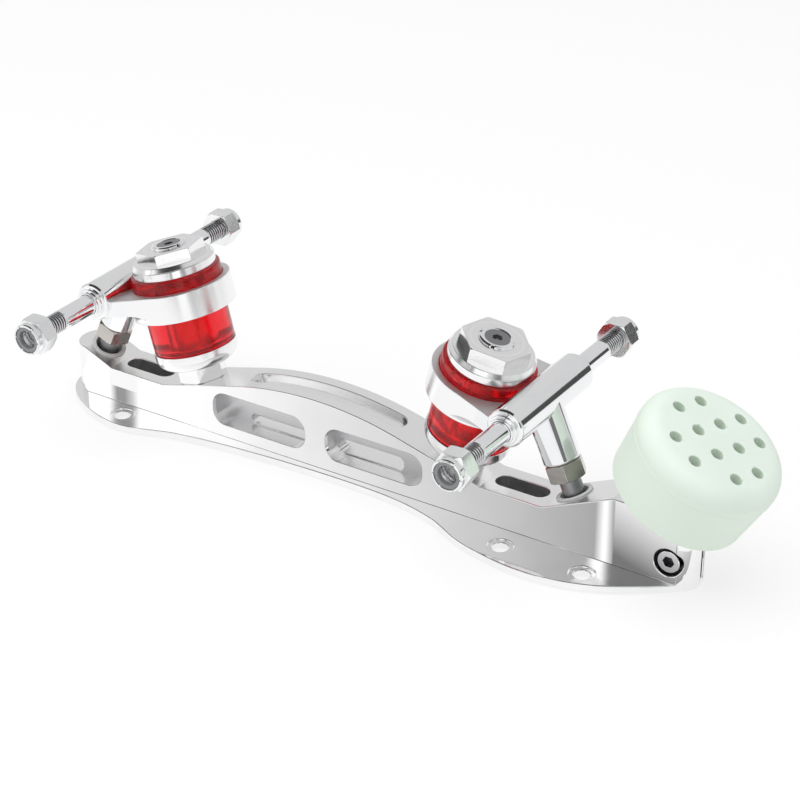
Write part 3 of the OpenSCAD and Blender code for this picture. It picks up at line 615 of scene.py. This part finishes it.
for piece, (width, axis_names) in TRUCK_PIECES.items():
    for end, side in TRUCKS.items():
        flip = Matrix.Diagonal((side, 1, 1))
        axes = [(flip @ start, flip @ along) for start, along in (AXES[name] for name in axis_names)]
        add_rounded(f"{end}_{piece}", piece, width, axes)
for piece, (width, axis_names) in PLATE_PIECES.items():
    add_rounded(piece, piece, width, [AXES[name] for name in axis_names])
add_rounded("base_plate", "base_plate", PLATE_EDGE, [], (FLANGE_TOP * MM, FOOT_HOLLOW * MM))


# Pieces with a new mesh

QUARTER = math.pi / 2
TURN = 2 * math.pi


def even_turn(count=96):
    return [TURN * i / count for i in range(count)]


def add_mesh(name, points, faces, slot, piece):
    mesh = bpy.data.meshes.new(name)
    mesh.from_pydata(points, [], faces)
    mesh.validate()
    for face in mesh.polygons:
        face.use_smooth = True
    obj = bpy.data.objects.new(name, mesh)
    bpy.context.scene.collection.objects.link(obj)
    paint(obj, slot, piece)
    return obj


def lathe(name, profile_at, angles, place, slot, piece=None):
    """A closed ring: at each angle about Z, the points (radius, height) of its profile there, then placed."""
    points, faces = [], []
    for i, angle in enumerate(angles):
        profile = profile_at(angle)
        count = len(profile)
        points += [place @ Vector((r * math.cos(angle), r * math.sin(angle), z)) for r, z in profile]
        here, there = i * count, (i + 1) % len(angles) * count
        for j in range(count):
            k = (j + 1) % count
            faces.append((here + j, there + j, there + k, here + k))
    return add_mesh(name, points, faces, slot, piece)


def bushing_profile(low, high, radius):
    """A bushing's wall with rounded edges and a slight swell, counter-clockwise from the bore's foot."""
    rows = 20
    foot = []
    for degrees in range(0, 91, 15):
        a = math.radians(degrees)
        r = radius - BUSHING_EDGE + BUSHING_EDGE * math.sin(a)
        foot.append((r, low + BUSHING_EDGE * (1 - math.cos(a))))
    wall = []
    for i in range(1, rows):
        t = i / rows
        height = low + BUSHING_EDGE + t * (high - low - 2 * BUSHING_EDGE)
        wall.append((radius + BUSHING_SWELL * (1 - (2 * t - 1) ** 2), height))
    head = [(r, low + high - z) for r, z in reversed(foot)]
    bore = [(BUSHING_BORE, high - t * (high - low) / rows) for t in range(rows + 1)]
    return foot + wall + head + bore


def bushing(name, size, place):
    profile = bushing_profile(*size)
    return lathe(name, lambda angle: profile, even_turn(), place, "red_urethane")


def add_bushings(end):
    """The two bushings of a truck, between the plate's retainers and the hanger's ring."""
    place = kingpin_frame(end)

    def height(z):
        return tuple(place @ Vector((0, 0, z)))

    lower = bushing(f"{end}_lower_bushing_soft", LOWER_BUSHING, place)
    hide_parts(f"{end}_lower_bushing")
    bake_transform(lower)
    upper = bushing(f"{end}_upper_bushing_soft", UPPER_BUSHING, place)
    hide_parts(f"{end}_upper_bushing")
    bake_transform(upper)


def lock_profile(angle):
    """A lock ring's section with a round crown that laps over the kingpin's end, cut back in four notches."""
    middle, half = (LOCK_R + LOCK_LIP) / 2, (LOCK_R - LOCK_LIP) / 2
    shoulder = LOCK_FOOT + LOCK_SIDE
    crown = []
    for degrees in range(0, 166, 15):
        a = math.radians(degrees)
        crown.append((middle + half * math.cos(a), shoulder + LOCK_CROWN * math.sin(a)))
    profile = [(LOCK_BORE, LOCK_FOOT), (LOCK_R, LOCK_FOOT), *crown, (LOCK_BORE, crown[-1][1])]
    off_notch = abs((angle + QUARTER / 2) % QUARTER - QUARTER / 2) * NOTCH_R
    limit = NOTCH_R if off_notch < NOTCH_HALF else LOCK_R
    return [(min(r, limit), z) for r, z in profile]


def add_lock_ring(end):
    """A lock ring, with angles just inside and just outside each side of a notch to keep it crisp."""
    edge = NOTCH_HALF / NOTCH_R
    angles = even_turn()
    for quarter in range(4):
        for share in (-0.99, -1.01, 0.99, 1.01):
            angles.append(quarter * QUARTER + edge * share)
    angles = sorted(a % TURN for a in angles)
    place = kingpin_frame(end) @ Matrix.Rotation(TRUCKS[end] * NOTCH_TURN, 4, "Z")
    ring = lathe(f"{end}_lock_ring_crowned", lock_profile, angles, place, "chrome", "kingpin_lock_ring")
    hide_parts(f"{end}_kingpin_lock_ring")
    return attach(ring, "plate")


def thread_radius(along, angle):
    """Radius of a right-hand thread at a distance past its start, with a run-in and a tapered tip."""
    phase = (along / THREAD_PITCH - angle / TURN) % 1.0
    crest = min(1.0, max(0.0, THREAD_CREST - abs(phase - 0.5) * THREAD_FLANK))
    run_in = min(1.0, max(0.0, along / THREAD_PITCH))
    tip = max(0.0, along - (AXLE_HALF - AXLE_PLAIN - AXLE_TIP))
    return AXLE_R - run_in * (AXLE_R - THREAD_R) - max(run_in * THREAD_DEPTH * (1 - crest), tip)


def add_axle(end):
    """The axle rod with a helical thread on each end, a grid of rings closed at both tips."""
    columns, steps = 48, 8
    count = round((AXLE_HALF - AXLE_PLAIN) / THREAD_PITCH * steps)
    reach = [i / count * (AXLE_HALF - AXLE_PLAIN) for i in range(count + 1)]
    reach.insert(0, -PLAIN_EDGE)
    rings = [(-1, s) for s in reversed(reach)] + [(1, s) for s in reach]
    points, faces = [], []
    for side, along in rings:
        for angle in even_turn(columns):
            r = thread_radius(along, angle * side)
            x = TRUCKS[end] * AXLE_AT + r * math.cos(angle)
            z = AXLE_HEIGHT + r * math.sin(angle)
            points.append(Vector((x, side * (AXLE_PLAIN + along), z)) * MM)
    for k in range(len(rings) - 1):
        for i in range(columns):
            a, b = k * columns + i, k * columns + (i + 1) % columns
            faces.append((a, a + columns, b + columns, b))
    faces.append(tuple(range(columns)))
    faces.append(tuple(reversed(range(len(points) - columns, len(points)))))
    rod = add_mesh(f"{end}_axle_threaded", points, faces, "chrome", "axle")
    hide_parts(f"{end}_axle")
    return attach(rod, f"{end}_truck")


for end in TRUCKS:
    add_bushings(end)
    add_axle(end)
    add_lock_ring(end)


# Studio

# The floor's half width and its drop below the sole face, in metres
FLOOR_REACH = 20.0
FLOOR_DROP = 0.0004

# Brightness of the cards, the floor and the sky
CARD_LEVEL = 1.27
FLOOR_WHITE = 0.98
FLOOR_GLOW = 0.7
SKY_AMBIENT = 0.45
SKY_MIRRORED = 0.7
SKY_SEEN = 1.0

# The point that the lamps face and the camera's place in metres, its lens and sensor in millimetres
LAMP_TARGET = Vector((0.02, 0, 0.03))
CAMERA_LENS = 103.47
CAMERA_SENSOR = 36
CAMERA_PLACE = (0.4331, -0.6229, 0.4412)
CAMERA_TILT = math.radians(61.363)
CAMERA_TURN = math.radians(32.77)

# Brightness of the striped cards that paint reflections into the metal, by place along them in metres
REFLECTION_CARD_STRIPES = [
    # White, with a painted dark reflection band at the heel
    (0.0, 1.0), (0.135, 1.0), (0.1365, 0.25), (0.1485, 0.25), (0.1525, 1.0),
    # Slowly darker towards the ball
    (0.194, 0.9), (0.3, 0.68), (0.374, 0.51), (0.4205, 0.345),
    # A narrow bright stripe, a dark band and white beyond it
    (0.422, 1.0), (0.428, 1.0), (0.4295, 0.17), (0.459, 0.17), (0.464, 0.9), (1.0, 0.9),
]
FLANGE_STRIPES = [
    # White, with a painted dark reflection band at the heel
    (0.0, 0.95), (0.036, 0.95), (0.0375, 0.27), (0.0455, 0.27), (0.049, 0.94), (0.07, 0.93),
    # Slowly darker towards the ball
    (0.08, 0.85), (0.128, 0.715), (0.176, 0.59), (0.224, 0.46), (0.2555, 0.33),
    # A narrow bright stripe, then dark
    (0.257, 0.95), (0.2605, 0.95), (0.2615, 0.2), (1.0, 0.2),
]
NOSE_STRIPES = [(0.0, 0.16), (0.105, 0.16), (0.145, 0.45), (0.2, 0.8), (1.0, 0.85)]

# A corner of the card on the flange, and from there the camera's mirror image behind the spine's near wall
FLANGE_CORNER = (0.16, -0.0094, 0.00305)
MIRRORED_CAMERA = (
    CAMERA_PLACE[0] - FLANGE_CORNER[0],
    -SPINE_WIDTH * MM - CAMERA_PLACE[1] - FLANGE_CORNER[1],
)

# A far point that the nose card's slanted stripes run towards
NOSE_SLANT = (28.4, 10)


def even(level):
    return [(0.0, level), (1.0, level)]


def bare_light(name):
    """An empty material whose own light isn't sampled as a lamp, and its nodes."""
    material = bpy.data.materials.new(name)
    material.cycles.emission_sampling = "NONE"
    nodes = Nodes(material)
    nodes.tree.nodes.clear()
    return material, nodes


def board(name, corner, first_edge, second_edge):
    """A flat card, seen only as a reflection, with a corner at a place and two edges from there."""
    first, second = Vector(first_edge), Vector(second_edge)
    mesh = bpy.data.meshes.new(name)
    mesh.from_pydata([Vector(), first, first + second, second], [], [(0, 1, 2, 3)])
    obj = bpy.data.objects.new(name, mesh)
    obj.location = corner
    bpy.context.scene.collection.objects.link(obj)
    obj.visible_camera = False
    obj.visible_diffuse = False
    obj.visible_transmission = False
    obj.visible_shadow = False
    return obj


def glow(obj, stripes, fan=(0.0, 1.0), offset=0.0):
    """Light from a card's front, in stripes by (place, brightness).

    The stripes meet at the point fan, in X and Y from the card's corner. Places are measured along X
    on the line through that corner, plus the offset.
    """
    material, nodes = bare_light(f"{obj.name}_light")
    place = nodes.parts(nodes.add("ShaderNodeTexCoord").outputs["Object"])
    shrink = nodes.math("DIVIDE", fan[1], nodes.math("SUBTRACT", fan[1], place["Y"]))
    from_fan = nodes.math("MULTIPLY", nodes.math("SUBTRACT", place["X"], fan[0]), shrink)
    ramp = nodes.add("ShaderNodeValToRGB", Fac=nodes.math("ADD", from_fan, fan[0] + offset))
    points = ramp.color_ramp.elements
    for where, _ in stripes[1:-1]:
        points.new(where)
    for point, (_, level) in zip(points, stripes):
        point.color = (*grey(level), 1)
    light = nodes.add("ShaderNodeEmission", Color=ramp.outputs["Color"], Strength=CARD_LEVEL)
    clear = nodes.add("ShaderNodeBsdfTransparent")
    behind = nodes.add("ShaderNodeNewGeometry").outputs["Backfacing"]
    nodes.show(behind, light.outputs["Emission"], clear.outputs["BSDF"])
    obj.data.materials.append(material)


def add_cards():
    """Cards that paint reflections into the metal, seen only in it: one beside the spine, three on the flange
    and three dark ones around.

    They are set for the photo's view. The flange card's stripes fan out from the camera's mirror image, so
    they look upright in that view alone.
    """
    # Painted reflections: a striped card beside the spine, which the plate mirrors
    reflection_card = board("reflection_card", (0.2, -0.2, 0.03), (-0.6, 0, 0), (0, 0, 0.19))
    glow(reflection_card, REFLECTION_CARD_STRIPES, offset=0.6)
    # Painted reflections: glowing sheets lying on the flange, in stripes that the spine's wall mirrors
    flange = board("flange_sheet", FLANGE_CORNER, (-0.29, 0, 0), (0, -0.0466, 0))
    glow(flange, FLANGE_STRIPES, fan=MIRRORED_CAMERA, offset=0.2945)
    nose = board("nose_sheet", (0.1035, -0.056, 0.0031), (0.05, 0, 0), (0.0233, 0.0466, 0))
    glow(nose, NOSE_STRIPES, fan=NOSE_SLANT, offset=0.2)
    heel = board("heel_sheet", (-0.1386, -0.056, 0.0031), (0.0138, 0, 0), (0.0325, 0.0375, 0))
    glow(heel, even(0.8))
    flag = board("dark_flag", (0.85, 1.2, 0.0), (0.45, 0, 0), (0, 0, 0.5))
    glow(flag, even(0.06))
    stand = board("dark_stand", (0.94, -0.41, 0.0), (-0.22, -0.27, 0), (0, 0, 0.4))
    glow(stand, even(0.14))
    ceiling = board("dark_ceiling", (0.6, -1.8, 1.6), (-2.8, 0, 0), (0, 2.6, 0))
    glow(ceiling, even(0.04))


def add_floor():
    """A wide white floor that also shines, to the camera, in the metal and through the urethane."""
    far = FLOOR_REACH
    mesh = bpy.data.meshes.new("floor")
    mesh.from_pydata([(-far, -far, 0), (far, -far, 0), (far, far, 0), (-far, far, 0)], [], [(0, 1, 2, 3)])
    floor = bpy.data.objects.new("floor", mesh)
    floor.location.z = -FLOOR_DROP
    bpy.context.scene.collection.objects.link(floor)
    material, nodes = bare_light("floor_white")
    path = nodes.add("ShaderNodeLightPath").outputs
    mirrored = nodes.math("MAXIMUM", path["Is Transmission Ray"], path["Is Glossy Ray"])
    seen = nodes.math("MAXIMUM", path["Is Camera Ray"], mirrored)
    matt = nodes.add("ShaderNodeBsdfDiffuse", Color=(*grey(FLOOR_WHITE), 1))
    light = nodes.add("ShaderNodeEmission")
    nodes.show(nodes.math("MULTIPLY", seen, FLOOR_GLOW), matt.outputs["BSDF"], light.outputs["Emission"])
    mesh.materials.append(material)


def add_world():
    """White to the camera and through the urethane, a little greyer in the metal and as ambient light."""
    world = bpy.data.worlds.new("studio")
    bpy.context.scene.world = world
    nodes = Nodes(world)
    nodes.tree.nodes.clear()
    path = nodes.add("ShaderNodeLightPath").outputs
    unseen = nodes.mix("FLOAT", path["Is Glossy Ray"], SKY_AMBIENT, SKY_MIRRORED)
    seen = nodes.math("MAXIMUM", path["Is Camera Ray"], path["Is Transmission Ray"])
    strength = nodes.mix("FLOAT", seen, unseen, SKY_SEEN)
    background = nodes.add("ShaderNodeBackground", Color=(*grey(1), 1), Strength=strength)
    nodes.add("ShaderNodeOutputWorld", Surface=background.outputs["Background"])


def add_lamp(name, place, size, watts):
    """A square lamp that lights the object but isn't mirrored in it."""
    light = bpy.data.lights.new(name, "AREA")
    light.size = size
    light.energy = watts
    lamp = bpy.data.objects.new(name, light)
    lamp.location = place
    lamp.rotation_euler = (LAMP_TARGET - lamp.location).to_track_quat("-Z", "Y").to_euler()
    lamp.visible_glossy = False
    bpy.context.scene.collection.objects.link(lamp)


def add_camera():
    lens = bpy.data.cameras.new("camera")
    lens.lens = CAMERA_LENS
    lens.sensor_width = CAMERA_SENSOR
    camera = bpy.data.objects.new("camera", lens)
    camera.location = CAMERA_PLACE
    camera.rotation_euler = (CAMERA_TILT, 0, CAMERA_TURN)
    bpy.context.scene.collection.objects.link(camera)
    bpy.context.scene.camera = camera


add_cards()
add_floor()
add_world()
add_lamp("top_light", (0.0, -0.1, 1.3), size=1.4, watts=10.5)
add_lamp("left_light", (-0.9, -0.8, 0.8), size=0.9, watts=5)
add_lamp("right_light", (1.1, -0.4, 0.7), size=0.8, watts=2)
add_camera()
bpy.context.scene.view_settings.view_transform = "Standard"
